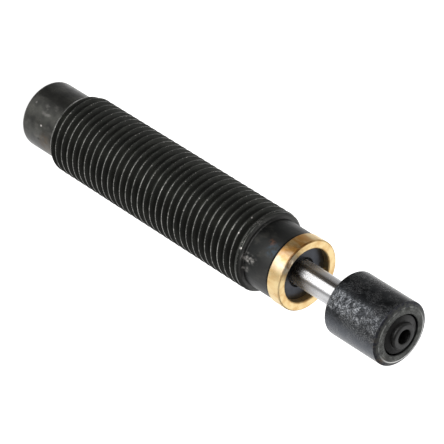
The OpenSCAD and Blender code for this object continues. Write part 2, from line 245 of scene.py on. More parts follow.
def studioWorld():
    world = bpy.data.worlds.new("studio")
    world.use_nodes = True
    tree = world.node_tree
    tree.nodes.clear()
    toward = addNode(tree, "TexCoord")
    axes = addNode(tree, "SeparateXYZ", (toward,)).node.outputs
    front = addNode(tree, "Math", (axes[1], -1), operation="MULTIPLY")
    around = addNode(tree, "Math", (axes[0], front), operation="ARCTAN2")
    share = addNode(tree, "Math", (around, 1 / (2 * math.pi), 0.5), operation="MULTIPLY_ADD")
    ramp = addNode(tree, "ValToRGB", (share,))
    # below the horizon, degrees round from the front against half the brightness: table, dark
    # room, key, gap, fill, table
    ring = [(-180, 0.58), (-165, 0.66), (-150, 0.62), (-135, 0.42), (-120, 0.24), (-104, 0.2),
            (-94, 0.21), (-80, 0.13), (-64, 0.06), (-50, 0.045), (-40, 0.07), (-32, 0.18),
            (-24, 0.4), (-16, 0.52), (20, 0.52), (28, 0.48), (36, 0.38), (43, 0.24), (48, 0.2),
            (53, 0.28), (60, 0.46), (68, 0.53), (80, 0.55), (110, 0.52), (150, 0.54), (165, 0.52)]
    stops = ramp.node.color_ramp.elements
    stops[1].position = 1
    for degrees, brightness in ring[1:]:
        stops.new((degrees + 180) / 360)
    for stop, (degrees, brightness) in zip(stops, ring + [(180, ring[0][1])]):
        stop.color = (brightness, brightness, brightness, 1)
    low = addNode(tree, "Math", (ramp, 2), operation="MULTIPLY")
    # above it the room is dim, lighter on the left, with a bright wall behind the object
    wall = addNode(tree, "VectorMath", (toward, (0, 0.8, 0.6)), 1, operation="DOT_PRODUCT")
    dim = addNode(tree, "MapRange", (axes[0], -0.1, -0.45, 0.2, 0.42),
                  interpolation_type="SMOOTHSTEP")
    high = addNode(tree, "MapRange", (wall, 0.74, 0.94, dim, 1.2), interpolation_type="SMOOTHSTEP")
    side = addNode(tree, "MapRange", (axes[2], -0.22, 0.02), interpolation_type="SMOOTHSTEP")
    room = addNode(tree, "Mix", {0: side, 2: low, 3: high})
    # the key is a softbox just above the table, in front of the object
    aside = addNode(tree, "Math", (around,), operation="ABSOLUTE")
    softbox = anyOf(tree, [addNode(tree, "MapRange", edges, interpolation_type="SMOOTHSTEP")
                           for edges in ((aside, 0.62, 0.38), (axes[2], -0.42, -0.3),
                                         (axes[2], 0.35, 0.17))])
    keyStrength = 3.8
    light = addNode(tree, "Math", (softbox, keyStrength, room), operation="MULTIPLY_ADD")
    glow = addNode(tree, "Background", (light, 1.0))
    addNode(tree, "OutputWorld", (glow,))
    scene.world = world


def whiteTable():
    bm = bmesh.new()
    bmesh.ops.create_circle(bm, cap_ends=True, segments=64, radius=8)
    bmesh.ops.translate(bm, verts=bm.verts, vec=(0, 0, -0.05 * mm))
    mesh = bpy.data.meshes.new("table")
    bm.to_mesh(mesh)
    bm.free()
    table = bpy.data.objects.new("table", mesh)
    scene.collection.objects.link(table)
    # lit acrylic sheet: an even pale white with no shadow, which takes no part in reflections
    finish = bpy.data.materials.new("litAcrylicSheet")
    finish.use_nodes = True
    shader = finish.node_tree.nodes["Principled BSDF"]
    shader.inputs["Base Color"].default_value = linear("#f4f4f2")
    shader.inputs["Roughness"].default_value = 0.6
    shader.inputs["Emission Color"].default_value = linear("#ffffff")
    shader.inputs["Emission Strength"].default_value = 0.95
    mesh.materials.append(finish)
    table.visible_diffuse = table.visible_glossy = False
    table.visible_transmission = table.visible_shadow = False


studioWorld()
whiteTable()
print("studio ready")


# finishes

def newFinish(name, metallic, roughness):
    finish = bpy.data.materials.new(name)
    finish.use_nodes = True
    tree = finish.node_tree
    shader = tree.nodes["Principled BSDF"]
    shader.inputs["Metallic"].default_value = metallic
    shader.inputs["Roughness"].default_value = roughness
    return finish, tree, shader, addNode(tree, "TexCoord", (), 3)


def feed(tree, shader, sources):
    # links a colour or a pattern to each named input of the shader
    for name, source in sources.items():
        tree.links.new(source, shader.inputs[name])


def relief(tree, shader, depth, *heights):
    # bump whose full height is depth millimetres, from the sum of some patterns
    total = heights[0]
    for height in heights[1:]:
        total = addNode(tree, "Math", (total, height), operation="ADD")
    feed(tree, shader, {"Normal": addNode(tree, "Bump", {"Height": total, "Distance": depth * mm})})


def turnedSheen(tree, shader, amount):
    # stretches highlights across the fine rings that turning or grinding leaves
    shader.inputs["Anisotropic"].default_value = amount
    shader.inputs["Anisotropic Rotation"].default_value = 0.25
    feed(tree, shader, {"Tangent": addNode(tree, "Tangent", (), direction_type="RADIAL", axis="Z")})


def blackOxideSteel():
    # black-oxided turned steel: satin black that mirrors like dark metal, mottled with grease and
    # handling, dusty in the corner at the shoulder, its thread crests rubbed bright in patches and
    # painted brighter on the lit side as a painted highlight; a painted highlight on the front of
    # the tail and painted shade on the neck at the cap seam
    finish, tree, shader, place = newFinish("blackOxideSteel", 0.7, 0.4)
    b = barrel
    tailTop = b["tailLength"]
    shoulder = tailTop + b["threadLength"]
    capSeat = shoulder + b["neckLength"]
    crest = heights("outer_body")[2]
    tail = zone(tree, place, "height", tailTop + 0.2, tailTop - 0.2)
    neck = zone(tree, place, "height", shoulder - 0.45, shoulder - 0.05)
    mottled = patches(tree, place, 2.2, 0.36, 0.68, 6)
    fine = patches(tree, place, 0.45, 0.35, 0.7, 5, (1, 1, 0.7), 7)
    smears = patches(tree, place, 1.2, 0.5, 0.75, 6, (1, 1, 0.6), 3)

    # coats of thread, tail and neck; the places of single marks are in millimetres
    threadCoat = coated(tree, linear("#40413e"), (linear("#4a4b47"), mottled))
    rust = patches(tree, place, 0.8, 0.3, 0.6)
    tailCoat = coated(
        tree, linear("#3b3b39"), (linear("#50504c"), mottled), (linear("#6d6b66"), smears, 0.5),
        # the light spot on the front of the tail is a painted highlight, broken up by the smears
        (linear("#8d8b88"), spot(tree, place, (-0.3, -5.9, 5.6), 2.2), smears, 0.5),
        (linear("#1b1a18"), spot(tree, place, (4.6, -3.69, 4.7), 0.4), 0.9),
        (linear("#5e4c38"), spot(tree, place, (5.0, -3.1, 6.6), 3.4, (1, 1, 0.7)), rust, 0.45))
    handled = zone(tree, place, "height", shoulder + 0.6, shoulder + 5.4)
    dusty = anyOf(tree, (zone(tree, place, "height", shoulder - 0.42, shoulder - 0.08),
                         zone(tree, place, "height", shoulder + 0.3, shoulder + 0.1)))
    # painted shade: the neck is painted near black just before the cap, as shade in the seam
    seamShade = zone(tree, place, "height", capSeat - 0.5, capSeat - 0.2)
    neckCoat = coated(
        tree, linear("#1f2020"), (linear("#2a2b2a"), mottled), (linear("#3b3b3a"), handled),
        (linear("#57554f"), smears, 0.3), (linear("#3d3d3b"), dusty),
        (linear("#6a4a38"), spot(tree, place, (-1.6, -5.8, 59.8), 0.9), fine),
        (linear("#43525e"), spot(tree, place, (-0.6, -5.9, 60.9), 1.8), fine, 0.7),
        (linear("#121211"), seamShade))
    coat = coated(tree, threadCoat, (tailCoat, tail), (neckCoat, neck))

    # each crest is rubbed by a different amount, and each one in patches
    height, radius = along(tree, place, "height"), along(tree, place, "radius")
    turnWear = addNode(tree, "TexNoise", {"W": height, "Scale": 0.48, "Detail": 1},
                       noise_dimensions="1D")
    worn = addNode(tree, "MapRange", (turnWear, 0.3, 0.65), interpolation_type="SMOOTHSTEP")
    grain = patches(tree, place, 0.28, 0.3, 0.55, 3, (1, 1, 0.5), 12)
    rubbed = anyOf(tree, (worn, patches(tree, place, 3.2, 0.3, 0.6), grain),
                   (patches(tree, place, 0.7, 0.45, 0.6), grain, 0.9), (0.12,))
    behindNeck = zone(tree, place, "height", shoulder - 0.75, shoulder - 0.95)
    # painted highlight: the crests are painted bare mostly on the lit side, only a little elsewhere
    litCrestSide = anyOf(tree, (sector(tree, place, 50, 80),), (0.15,))
    crestLine = zone(tree, place, "radius", crest - 0.045, crest - 0.004)

    # the first turn is bevelled, so its crest is found along the bevel
    slope = (crest - b["leadRadius"]) / b["leadLength"]
    start = b["leadRadius"] - slope * tailTop
    bevel = addNode(tree, "Math", (height, -slope, radius), operation="MULTIPLY_ADD")
    entryCrest = anyOf(tree, (addNode(tree, "MapRange", (bevel, start - 0.06, start - 0.02)),
                              zone(tree, place, "height", tailTop + 1.3, tailTop + 1.2),
                              zone(tree, place, "height", tailTop, tailTop + 0.1), rubbed))
    crests = anyOf(tree, (crestLine, rubbed, behindNeck, litCrestSide), (entryCrest,))

    # bare steel: sparks along the crests, dings on the neck and single chips
    sparks = anyOf(tree, (zone(tree, place, "radius", crest - 0.1, crest - 0.03),
                          patches(tree, place, 0.22, 0.62, 0.69, 2, shift=5)))
    dented = patches(tree, place, 0.4, 0.5, 0.62, 3, (1, 1, 0.6), 5)
    dings = anyOf(tree, (spot(tree, place, (2.6, -5.45, 56.75), 1.1, (1, 1, 2.6)), fine, 0.75),
                  (spot(tree, place, (2.95, -5.4, 56.5), 0.42, (1, 1, 1.6)), 0.8),
                  (spot(tree, place, (4.3, -4.3, 56.35), 0.34, (1, 1, 1.2)), 0.8),
                  (spot(tree, place, (4.1, -4.3, 56.95), 0.9), fine, 0.4),
                  (spot(tree, place, (-3.1, -6.0, 55.8), 1.5), dented, 0.3))
    chips = anyOf(tree, (spot(tree, place, (2.53, -5.4, 5.14), 0.27, (1, 1, 1.3)),),
                  (spot(tree, place, (-0.43, -5.9, 1.93), 0.3), 0.25),
                  (spot(tree, place, (0.04, -7, 54.07), 0.25),),
                  (spot(tree, place, (-3.1, -6.28, 54.08), 0.25),),
                  (spot(tree, place, (1.91, -6.74, 55.75), 0.3),),
                  (spot(tree, place, (6.54, -2.49, 43.54), 0.3),))
    bare = anyOf(tree, (crests,), (sparks,), (dings,), (chips,))
    fresh = anyOf(tree, (dings,), (chips,), (sparks, 0.6))
    bright = coated(tree, linear("#a09f9b"), (linear("#e8e2dd"), fresh))

    neckRough = addNode(tree, "MapRange", (mottled, 0, 1, 0.36, 0.27))
    coatRough = addNode(tree, "Mix", {0: neck, 2: neckRough, 3: 0.4})
    frontMetal = addNode(tree, "Mix", {0: neck, 2: 0.86, 3: 0.9})
    cleanMetal = addNode(tree, "Mix", {0: tail, 2: frontMetal, 3: 0.92})
    coatMetal = addNode(tree, "Mix", {0: dusty, 2: cleanMetal, 3: 0.25})
    feed(tree, shader, {"Base Color": coated(tree, coat, (bright, bare)),
                        "Roughness": addNode(tree, "Mix", {0: bare, 2: coatRough, 3: 0.3}),
                        "Metallic": addNode(tree, "Mix", {0: bare, 2: coatMetal, 3: 1.0})})
    relief(tree, shader, 0.006, anyOf(tree, (toolMarks(tree, place, "height", 0.16), 0.5)), fine)
    return finish


def turnedBrass():
    # bright turned brass: pale gold with fine tool rings, brown film in places and a few specks; a
    # painted highlight down its front, painted shade in deeper orange on its shaded side, and
    # painted dark reflections on the front of the face and on one side of its outer rounding, which
    # is rubbed matt on the other
    finish, tree, shader, place = newFinish("turnedBrass", 1, 0.3)
    film = patches(tree, place, 1.4, 0.38, 0.7, 5, (1, 1, 0.5))
    streaked = patches(tree, place, 1.1, 0.2, 0.6, 4, (1, 1, 0.4), 2)
    specks = patches(tree, place, 0.3, 0.66, 0.74, shift=4)
    highlightPatches = patches(tree, place, 0.9, 0.25, 0.5, 4, (1, 1, 0.5), 8)
    top, edge = heights("front_cap")[1:]
    side = zone(tree, place, "radius", edge - 0.3, edge - 0.1)
    rounding = zone(tree, place, "radius", edge - 0.3, edge - 0.2)
    front = zone(tree, place, "height", top - 0.24, top - 0.2)
    colour = coated(
        # painted highlight: a pale, near white band down the front of the cap, in patches
        tree, linear("#f2d8a2"), (linear("#fff6e0"), sector(tree, place, 0, 22), highlightPatches, 0.8),
        (linear("#dda654"), film, 0.3),
        # painted shade: the side is painted a deeper, streaked orange round its shaded side
        (linear("#c98a3c"), side, sector(tree, place, -32, 36), streaked, 0.85),
        (linear("#c88f48"), film, streaked, 0.3), (linear("#8a5b2a"), specks, 0.45),
        # painted reflection: a dark brown patch on the front of the face, near its outer edge
        (linear("#6a4520"), spot(tree, place, (0.3, -5.45, top), 0.9), 0.75),
        # painted reflection: the outer rounding is painted dark brown on one side
        (linear("#7a5226"), rounding, front, sector(tree, place, -26, 34), 0.8))
    edges = anyOf(tree, (zone(tree, place, "radius", edge - 0.24, edge - 0.2),),
                  (zone(tree, place, "radius", cap["opening"] + 0.22, cap["opening"] + 0.18),))
    filed = anyOf(tree, (front, edges, 0.62))
    matt = anyOf(tree, (filed, rounding, sector(tree, place, 62, 60)))
    smooth = addNode(tree, "MapRange", (film, 0, 1, 0.3, 0.4))
    feed(tree, shader, {"Base Color": colour,
                        "Metallic": addNode(tree, "MapRange", (matt, 0, 0.5, 1, 0.25)),
                        "Roughness": addNode(tree, "Math", (smooth, filed), operation="MAXIMUM")})
    relief(tree, shader, 0.003, toolMarks(tree, place, "height", 0.11),
           toolMarks(tree, place, "radius", 0.11))
    turnedSheen(tree, shader, 0.3)
    return finish


def hardChrome():
    # hard chrome over a ground rod: a mirror round the rod, smeared along it by the grinding rings,
    # with painted shade on its front where it leaves the wiper and one thin painted dark reflection
    # along it further out
    finish, tree, shader, place = newFinish("hardChrome", 1, 0.27)
    hair = scratches(tree, place, 0.9, 0.03, (4, 4, 0.12))
    haze = patches(tree, place, 3, 0.4, 0.7)
    lip = heights("gland")[1]
    shadeNearWiper = zone(tree, place, "height", lip + 2.6, lip + 1.1)
    hazed = addNode(tree, "MapRange", (haze, 0, 1, 0.25, 0.3))
    feed(tree, shader, {
        "Base Color": coated(tree, linear("#e0e0e2"), (linear("#a09a95"), hair, 0.2),
                             # painted reflection: a thin darker stripe along the rod
                             (linear("#938d88"), sector(tree, place, -27, 13), 0.8),
                             # painted shade: the front of the rod is darkened where it leaves the
                             # wiper
                             (linear("#4a4541"), sector(tree, place, 0, 44), shadeNearWiper, 0.9)),
        "Roughness": addNode(tree, "Math", (hair, 0.1, hazed), operation="MULTIPLY_ADD")})
    relief(tree, shader, 0.0003, hair)
    turnedSheen(tree, shader, 1.0)
    return finish


def wornButtonSteel():
    # black-oxided steel worn by the machine: glossy dark skin, crossed scratches, battered rim
    finish, tree, shader, place = newFinish("wornButtonSteel", 0.92, 0.3)
    top, edge = heights("button")[1:]
    drop = button["crownDrop"]
    mottled = patches(tree, place, 1.8, 0.36, 0.66, 6)
    grit = patches(tree, place, 0.22, 0.42, 0.66, 4, (1, 1, 0.8), 2)
    streaky = patches(tree, place, 0.75, 0.38, 0.62, 6)
    crumbs = patches(tree, place, 0.4, 0.4, 0.65)
    dull = patches(tree, place, 0.9, 0.4, 0.6, 4, shift=14)
    sparse = patches(tree, place, 2.2, 0.4, 0.6, 2, shift=9)
    side = zone(tree, place, "height", top - drop, top - drop - 0.1)
    face = zone(tree, place, "height", top - 0.06, top - 0.02)
    notLip = addNode(tree, "Math", (side, face), operation="MAXIMUM")
    lip = addNode(tree, "Math", (1, notLip), operation="SUBTRACT")

    # the side is rubbed in one band down its front, which also carries a painted highlight, and is
    # painted lighter below it on the lit side
    fading = zone(tree, place, "height", top - 1.0, top - 6.0)
    wearAndHighlightBand = anyOf(tree, (sector(tree, place, 7, 22), fading), (sector(tree, place, 9, 18), 0.5))
    rubbed = anyOf(tree, (grit, sector(tree, place, 66, 80), 0.5), (grit, wearAndHighlightBand))
    crossed = anyOf(tree, (scratches(tree, place, 0.7, 0.016, (1, 1, 2.6)), sparse),
                    (scratches(tree, place, 0.6, 0.016, (2.4, 1.2, 0.8), 6), sparse),
                    (scratches(tree, place, 0.9, 0.012, (1.2, 2.6, 1.6), 11), sparse))

    # the face is worn in rings, and the crown carries a bright brow
    radius = along(tree, place, "radius")
    ringWear = addNode(tree, "TexNoise", {"W": radius, "Scale": 4.5, "Detail": 2},
                       noise_dimensions="1D")
    streaks = addNode(tree, "MapRange", (ringWear, 0.42, 0.66), interpolation_type="SMOOTHSTEP")
    crown = zone(tree, place, "height", top - drop * 0.6, top - drop * 0.4)
    browSide = anyOf(tree, (sector(tree, place, 0, 120), dull, 0.16),
                     (sector(tree, place, 165, 100),))
    brow = anyOf(tree, (zone(tree, place, "radius", edge - 0.95, edge - 0.88),
                        zone(tree, place, "radius", edge - 0.66, edge - 0.74), crown, browSide))
    faceCoat = coated(tree, linear("#333432"), (linear("#6d6f6c"), streaks, dull),
                      (linear("#4c4d4b"), mottled, 0.4))
    lipCoat = coated(tree, linear("#42434a"), (linear("#62625f"), crumbs, 0.7),
                     (linear("#5b5c59"), crown, dull))
    coat = coated(
        tree, linear("#28292b"), (linear("#313335"), mottled),
        # painted light: blue-grey on the +X side, and the lighter rubbed coat there, brighten the
        # lit side
        (linear("#55585e"), sector(tree, place, 84, 54)), (linear("#74777d"), rubbed, 0.38),
        # the band's coats are partly wear and partly a painted highlight
        (linear("#54575b"), wearAndHighlightBand, streaky, 0.8), (linear("#c4c6ca"), wearAndHighlightBand, streaky, grit, 0.6),
        (lipCoat, lip), (faceCoat, face),
        (linear("#6b5644"), spot(tree, place, (5.3, -0.6, top - 0.4), 1.5), crumbs, 0.6),
        (linear("#6b5644"), spot(tree, place, (3.4, -4.2, top - 0.5), 1.2), crumbs, 0.2))
    bare = anyOf(tree, (crossed, side, 0.2), (crossed, face, 0.2), (brow,))
    sideRough = addNode(tree, "MapRange", (rubbed, 0, 1, 0.26, 0.36))
    coatRough = anyOf(tree, (sideRough,), (lip, 0.45))
    feed(tree, shader, {"Base Color": coated(tree, coat, (linear("#dadad8"), bare)),
                        "Roughness": addNode(tree, "Mix", {0: bare, 2: coatRough, 3: 0.28}),
                        "Metallic": addNode(tree, "Mix", {0: bare, 2: 0.92, 3: 1.0})})
    turning = anyOf(tree, (toolMarks(tree, place, "radius", 0.2), face, 1.5), (crumbs, lip, 3.0))
    relief(tree, shader, 0.009, turning, rubbed, anyOf(tree, (crossed, -1.0)))
    return finish


def mouldedUrethane():
    # moulded urethane: matt charcoal, slightly dusty, streaked round by the mould's turning, with
    # painted shade over most of the shelf round the boss
    finish, tree, shader, place = newFinish("mouldedUrethane", 0, 0.5)
    shader.inputs["IOR"].default_value = 1.47
    dust = patches(tree, place, 0.5, 0.48, 0.75, 5)
    # painted shade: the shelf round the boss is darkened over most of its round
    recessShade = anyOf(tree, (zone(tree, place, "radius", pad["boss"] + 0.02, pad["boss"] + 0.12),
                          sector(tree, place, 40, 130)))
    matt = addNode(tree, "MapRange", (dust, 0, 1, 0.4, 0.58))
    feed(tree, shader, {
        "Base Color": coated(tree, linear("#191918"), (linear("#3c3c38"), dust, 0.5),
                             (linear("#070706"), recessShade, 0.85)),
        "Roughness": addNode(tree, "Math", (recessShade, 0.3, matt), operation="MULTIPLY_ADD")})
    relief(tree, shader, 0.01, toolMarks(tree, place, "radius", 0.24), dust)
    return finish


def bluedSteel():
    # blued steel gland: dark slate with smooth turned rings
    finish, tree, shader, place = newFinish("bluedSteel", 0.85, 0.34)
    cloud = patches(tree, place, 1.5, 0.35, 0.7, 4)
    feed(tree, shader, {"Base Color": coated(tree, linear("#383a3f"), (linear("#4a4d54"), cloud)),
                        "Roughness": addNode(tree, "MapRange", (cloud, 0, 1, 0.3, 0.4))})
    relief(tree, shader, 0.004, toolMarks(tree, place, "radius", 0.14))
    return finish


def nitrileRubber():
    # nitrile rubber: near black, dull, with a faint bloom
    finish, tree, shader, place = newFinish("nitrileRubber", 0, 0.6)
    bloom = patches(tree, place, 0.8, 0.45, 0.8, 4)
    feed(tree, shader, {"Base Color": coated(tree, linear("#0f0f10"), (linear("#242424"), bloom))})
    relief(tree, shader, 0.004, patches(tree, place, 0.15, 0.3, 0.7, 2))
    return finish


def castUrethaneSeal():
    # cast urethane seal: blue and waxy, with a little light inside
    finish, tree, shader, place = newFinish("castUrethaneSeal", 0, 0.4)
    shader.inputs["Subsurface Weight"].default_value = 0.1
    cloud = patches(tree, place, 0.9, 0.35, 0.7)
    feed(tree, shader, {"Base Color": coated(tree, linear("#1f3d5c"), (linear("#2f5578"), cloud))})
    relief(tree, shader, 0.003, cloud)
    return finish


def machinedSteel():
    # plain machined steel: mid grey with tool rings and an oil film
    finish, tree, shader, place = newFinish("machinedSteel", 1, 0.3)
    film = patches(tree, place, 2.0, 0.35, 0.7, 4)
    feed(tree, shader, {"Base Color": coated(tree, linear("#a8a9ab"), (linear("#8a8a88"), film)),
                        "Roughness": addNode(tree, "MapRange", (film, 0, 1, 0.24, 0.36))})
    relief(tree, shader, 0.004, toolMarks(tree, place, "height", 0.13),
           toolMarks(tree, place, "radius", 0.13))
    return finish


def drawnSpringWire():
    # drawn spring wire: bright grey, streaked by the die
    finish, tree, shader, place = newFinish("drawnSpringWire", 1, 0.3)
    streak = patches(tree, place, 0.4, 0.35, 0.7, 4, (1, 1, 3))
    feed(tree, shader, {"Base Color": coated(tree, linear("#c3c4c6"), (linear("#8f9092"), streak)),
                        "Roughness": addNode(tree, "MapRange", (streak, 0, 1, 0.22, 0.37))})
    relief(tree, shader, 0.003, streak)
    return finish


def bearingBronze():
    # turned bearing bronze: brown gold, a little porous
    finish, tree, shader, place = newFinish("bearingBronze", 1, 0.34)
    pores = patches(tree, place, 0.25, 0.58, 0.7)
    cloud = patches(tree, place, 2.2, 0.35, 0.7, 4)
    feed(tree, shader, {"Base Color": coated(tree, linear("#b98a4e"), (linear("#94693a"), cloud),
                                             (linear("#5a3d20"), pores))})
    relief(tree, shader, 0.006, toolMarks(tree, place, "height", 0.15), anyOf(tree, (pores, -1.0)))
    return finish


def closedCellFoam():
    # closed-cell nitrile foam: slate grey, its cells drawn 0.35 mm across so that they show
    finish, tree, shader, place = newFinish("closedCellFoam", 0, 0.85)
    cells = addNode(tree, "TexVoronoi", {"Vector": place, "Scale": 1 / (0.35 * mm)})
    depth = addNode(tree, "MapRange", (cells, 0.1, 0.6), interpolation_type="SMOOTHSTEP")
    feed(tree, shader, {"Base Color": coated(tree, linear("#2c2e34"), (linear("#555963"), depth))})
    relief(tree, shader, 0.08, depth)
    return finish


black = blackOxideSteel()
brass = turnedBrass()
chrome = hardChrome()
worn = wornButtonSteel()
urethane = mouldedUrethane()
blued = bluedSteel()
rubber = nitrileRubber()
sealBlue = castUrethaneSeal()
steel = machinedSteel()
springWire = drawnSpringWire()
bronze = bearingBronze()
foam = closedCellFoam()
print("finishes mixed")


# mesh helpers

def everything(bm):
    return bm.verts[:] + bm.edges[:] + bm.faces[:]


def vertsOf(geom):
    return [part for part in geom if isinstance(part, bmesh.types.BMVert)]


def edgesOf(geom):
    return [part for part in geom if isinstance(part, bmesh.types.BMEdge)]


def ringAt(bm, radius, height):
    # edges of the circle with that radius and height, in millimetres
    def onRing(v):
        return abs(v.co.xy.length - radius * mm) < 1e-6 and abs(v.co.z - height * mm) < 1e-6
    return [e for e in bm.edges if onRing(e.verts[0]) and onRing(e.verts[1])]


def roundRing(bm, radius, height, size, segments=3):
    bmesh.ops.bevel(bm, geom=ringAt(bm, radius, height), offset=size * mm, segments=segments,
                    profile=0.5, affect="EDGES", material=-1)


def finished(bm, name, finish, body, node):
    # closes, orients and smooths a mesh, then makes it the piece that stands for its part
    bmesh.ops.remove_doubles(bm, verts=bm.verts, dist=samePlace)
    bmesh.ops.recalc_face_normals(bm, faces=bm.faces)
    for face in bm.faces:
        face.smooth = True
    for edge in bm.edges:
        edge.smooth = edge.calc_face_angle(0) < sharpFrom
    mesh = bpy.data.meshes.new(name)
    bm.to_mesh(mesh)
    bm.free()
    mesh.materials.append(finish)
    piece = bpy.data.objects.new(name, mesh)
    scene.collection.objects.link(piece)
    flats = piece.modifiers.new("flats", "WEIGHTED_NORMAL")
    flats.keep_sharp = True
    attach(piece, body)
    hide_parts(node)
    return piece


def turned(outline, steps=160):
    # spins an outline of radius and height round the axis; one that starts off the axis is a
    # closed ring
    bm = bmesh.new()
    points = [bm.verts.new((r * mm, 0, z * mm)) for r, z in outline]
    pairs = list(zip(points, points[1:]))
    if outline[0][0] > 0:
        pairs.append((points[-1], points[0]))
    wires = [bm.edges.new(pair) for pair in pairs]
    bmesh.ops.spin(bm, geom=points + wires, cent=(0, 0, 0), axis=(0, 0, 1), angle=2 * math.pi,
                   steps=steps, use_merge=True)
    bmesh.ops.remove_doubles(bm, verts=bm.verts, dist=samePlace)
    return bm


def arc(centreR, centreZ, radius, start, end, steps):
    # points of an outline along an arc, between two angles in degrees
    turns = [math.radians(start + (end - start) * i / steps) for i in range(steps + 1)]
    return [(centreR + radius * math.cos(a), centreZ + radius * math.sin(a)) for a in turns]


# barrel with its mounting thread

def threadProfile(pitch, crest, edge):
    # one pitch of the metric thread from crest to crest: flat crest, 30 degree flanks, round root
    sharp = pitch * math.sqrt(3) / 2
    half = pitch / 16
    rootRadius = sharp / 6
    rootCentre = crest - sharp * 17 / 24 + rootRadius
    rootTop = rootCentre - rootRadius / 2
    flankEnd = pitch / 2 - rootRadius * math.sqrt(3) / 2
    down = [(0, crest), (half - edge, crest), (half + edge, crest - edge * math.sqrt(3))]
    down += [(half + (flankEnd - half) * k / 4, crest + (rootTop - crest) * k / 4)
             for k in (1, 2, 3, 4)]
    down += [(pitch / 2 + rootRadius * math.cos(a), rootCentre + rootRadius * math.sin(a))
             for a in (math.radians(-120), math.radians(-90))]
    return down + [(pitch - z, r) for z, r in reversed(down[:-1])]


def turnOn(bm, ring, outline):
    # extrudes a ring of edges along radii and heights, as the barrel is turned on from its thread
    for radius, height in outline:
        grown = bmesh.ops.extrude_edge_only(bm, edges=ring)["geom"]
        for v in vertsOf(grown):
            v.co.xy = v.co.xy.normalized() * radius * mm
            v.co.z = height * mm
        ring = edgesOf(grown)
    return ring


def turnThread(bm, crest):
    # winds the thread past both of its ends, then cuts it off square
    b = barrel
    low = b["tailLength"]
    high = low + b["threadLength"]
    start = low - b["pitch"] * (1 + b["startTurn"])
    points = [bm.verts.new((r * mm, 0, (start + z) * mm))
              for z, r in threadProfile(b["pitch"], crest, b["crestEdge"])]
    wires = [bm.edges.new(pair) for pair in zip(points, points[1:])]
    bmesh.ops.spin(bm, geom=points + wires, cent=(0, 0, 0), axis=(0, 0, 1),
                   dvec=(0, 0, b["pitch"] * mm / b["stepsPerTurn"]), angle=2 * math.pi,
                   steps=b["stepsPerTurn"])
    made = 1
    while made < b["threadLength"] / b["pitch"] + 3:
        # each copy doubles the length of the thread
        copy = bmesh.ops.duplicate(bm, geom=everything(bm))["geom"]
        bmesh.ops.translate(bm, verts=vertsOf(copy), vec=(0, 0, made * b["pitch"] * mm))
        made *= 2
    # the copies meet each other within the spin's rounding error
    bmesh.ops.remove_doubles(bm, verts=bm.verts, dist=2e-6)
    land = high - b["landLength"]
    bevelShare = 0.9    # of the shoulder's edge, where its bevel starts
    for height in (land, high - b["shoulderEdge"] * bevelShare):
        bmesh.ops.bisect_plane(bm, geom=everything(bm), dist=samePlace,
                               plane_co=(0, 0, height * mm), plane_no=(0, 0, 1))
    for height, upper in ((low, False), (high, True)):
        bmesh.ops.bisect_plane(bm, geom=everything(bm), dist=samePlace,
                               plane_co=(0, 0, height * mm), plane_no=(0, 0, 1),
                               clear_outer=upper, clear_inner=not upper)
    slope = (crest - b["leadRadius"]) / b["leadLength"]
    for v in bm.verts:
        z, r = v.co.z / mm, v.co.xy.length / mm
        entry = b["leadRadius"] + (z - low) * slope
        shoulder = crest - b["shoulderEdge"] + (high - z) * b["shoulderSlope"]
        runOut = b["landRadius"] - max(0, land - z) * b["runOutSlope"]
        v.co.xy = v.co.xy.normalized() * min(max(r, runOut), entry, shoulder) * mm


def makeBarrel():
    b = barrel
    low, top, crest = heights("outer_body")
    threadLow = b["tailLength"]
    threadTop = threadLow + b["threadLength"]
    capSeat = threadTop + b["neckLength"]
    middle = (threadLow + threadTop) / 2
    bm = bmesh.new()
    turnThread(bm, crest)
    ends = [e for e in bm.edges if e.is_boundary]
    lower = [e for e in ends if e.verts[0].co.z < (threadLow + 1) * mm]
    upper = [e for e in ends if e.verts[0].co.z > (threadTop - 1) * mm]
    fillet, waist = b["neckFillet"], b["filletWaist"]
    front = turnOn(bm, upper, [(b["neckRadius"] + fillet, threadTop),
                               (b["neckRadius"] + waist, threadTop + waist),
                               (b["neckRadius"], threadTop + fillet), (b["neckRadius"], capSeat),
                               (b["noseRadius"], capSeat), (b["noseRadius"], top),
                               (b["boreRadius"], top), (b["boreRadius"], middle)])
    rear = turnOn(bm, lower, [(b["tailRadius"], threadLow), (b["tailRadius"], low),
                              (b["portRadius"], low), (b["portRadius"], b["portDepth"]),
                              (b["passageRadius"], b["portDepth"]),
                              (b["passageRadius"], b["endWall"]),
                              (b["boreRadius"], b["endWall"]), (b["boreRadius"], middle - 1)])
    bmesh.ops.bridge_loops(bm, edges=front + rear)
    roundRing(bm, b["tailRadius"], low, b["tailEdge"], 6)
    roundRing(bm, b["portRadius"], low, b["portEdge"], 2)
    roundRing(bm, b["neckRadius"], capSeat, b["neckEdge"], 3)
    roundRing(bm, b["noseRadius"], top, b["noseEdge"], 2)
    finished(bm, "threadedBarrel", black, "barrel", "outer_body")


makeBarrel()
print("barrel turned")


# front cap, gland and wiper

def makeCap():
    low, top, radius = heights("front_cap")
    lip = heights("gland")[1]
    bm = turned([(cap["socket"], low), (radius, low), (radius, top), (cap["opening"], top),
                 (cap["opening"], lip), (cap["socket"], lip)])
    roundRing(bm, radius, low, cap["rearEdge"])
    roundRing(bm, radius, top, cap["outerEdge"], 4)
    roundRing(bm, cap["opening"], top, cap["openingEdge"])
    finished(bm, "stopCap", brass, "barrel", "front_cap")


gland = {
    "mouth": 2.55, "wiperSeat": 3.5, "sealSeat": 3.9, "land": 2.35,
    "mouthDepth": 0.8, "wiperLength": 1.6, "landLength": 0.6, "ringGroove": 4.1, "ringWidth": 1.1,
    "edge": 0.2, "mouthEdge": 0.1,
}


